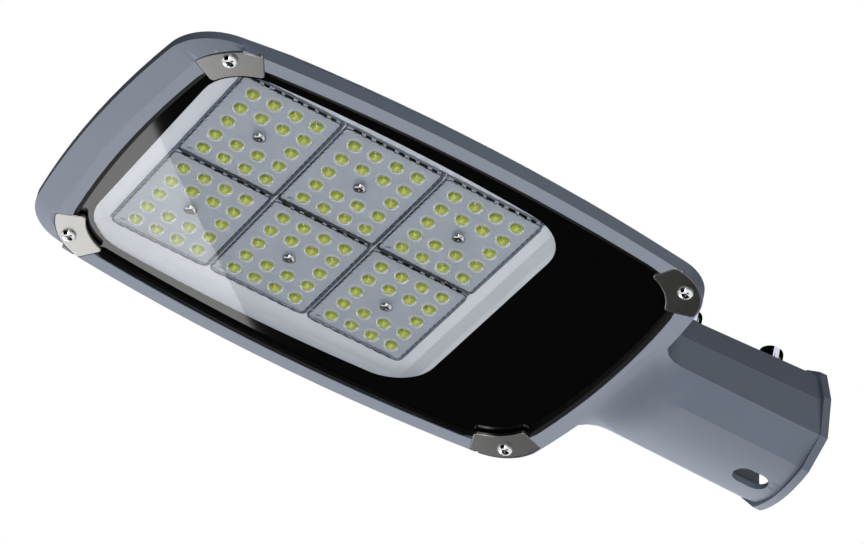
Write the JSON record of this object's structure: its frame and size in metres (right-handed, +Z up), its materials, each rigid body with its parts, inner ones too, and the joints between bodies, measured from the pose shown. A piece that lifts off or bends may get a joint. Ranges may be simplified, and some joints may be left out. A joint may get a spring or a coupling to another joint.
{
  "type": "led street light head",
  "caption": "Flat street light head with a finned cast housing, clear glass held by corner clips, and a spigot that clamps on a horizontal pole end.",
  "frame": {"origin": "centre of the spigot's mouth, on the axis of its bore", "axes": "+X leaves the mouth along the bore, +Z is up, and the glass faces down"},
  "size_m": [0.4095, 0.2194, 0.0846],
  "materials": {
    "casting": "satin",
    "glass": "gloss",
    "gasket": "matte",
    "clip": "satin",
    "screw": "polished",
    "lens": "gloss",
    "board": "matte",
    "phosphor": "satin",
    "tray": "satin",
    "driver_case": "satin",
    "block_plastic": "matte",
    "surge_plastic": "matte",
    "lead": "satin",
    "gland": "satin",
    "bolt": "polished"
  },
  "bodies": {
    "root": {"housing": "casting", "glass_cover": "glass", "glass_gasket": "gasket", "clip_screws": "screw", "reflector_tray": "tray", "led_driver": "driver_case", "terminal_block": "block_plastic", "surge_protector": "surge_plastic", "driver_input_lead": "lead", "surge_lead": "lead", "led_lead": "lead", "cable_gland": "gland", "gland_nut": "gland", "clamp_bolts": "bolt", "glass_clip_1": "clip", "glass_clip_2": "clip", "glass_clip_3": "clip", "glass_clip_4": "clip", "lens_plate_1": "lens", "led_board_1": "board", "leds_1": "phosphor", "lens_plate_2": "lens", "led_board_2": "board", "leds_2": "phosphor", "lens_plate_3": "lens", "led_board_3": "board", "leds_3": "phosphor", "lens_plate_4": "lens", "led_board_4": "board", "leds_4": "phosphor", "lens_plate_5": "lens", "led_board_5": "board", "leds_5": "phosphor", "lens_plate_6": "lens", "led_board_6": "board", "leds_6": "phosphor"}
  },
  "joints": []
}
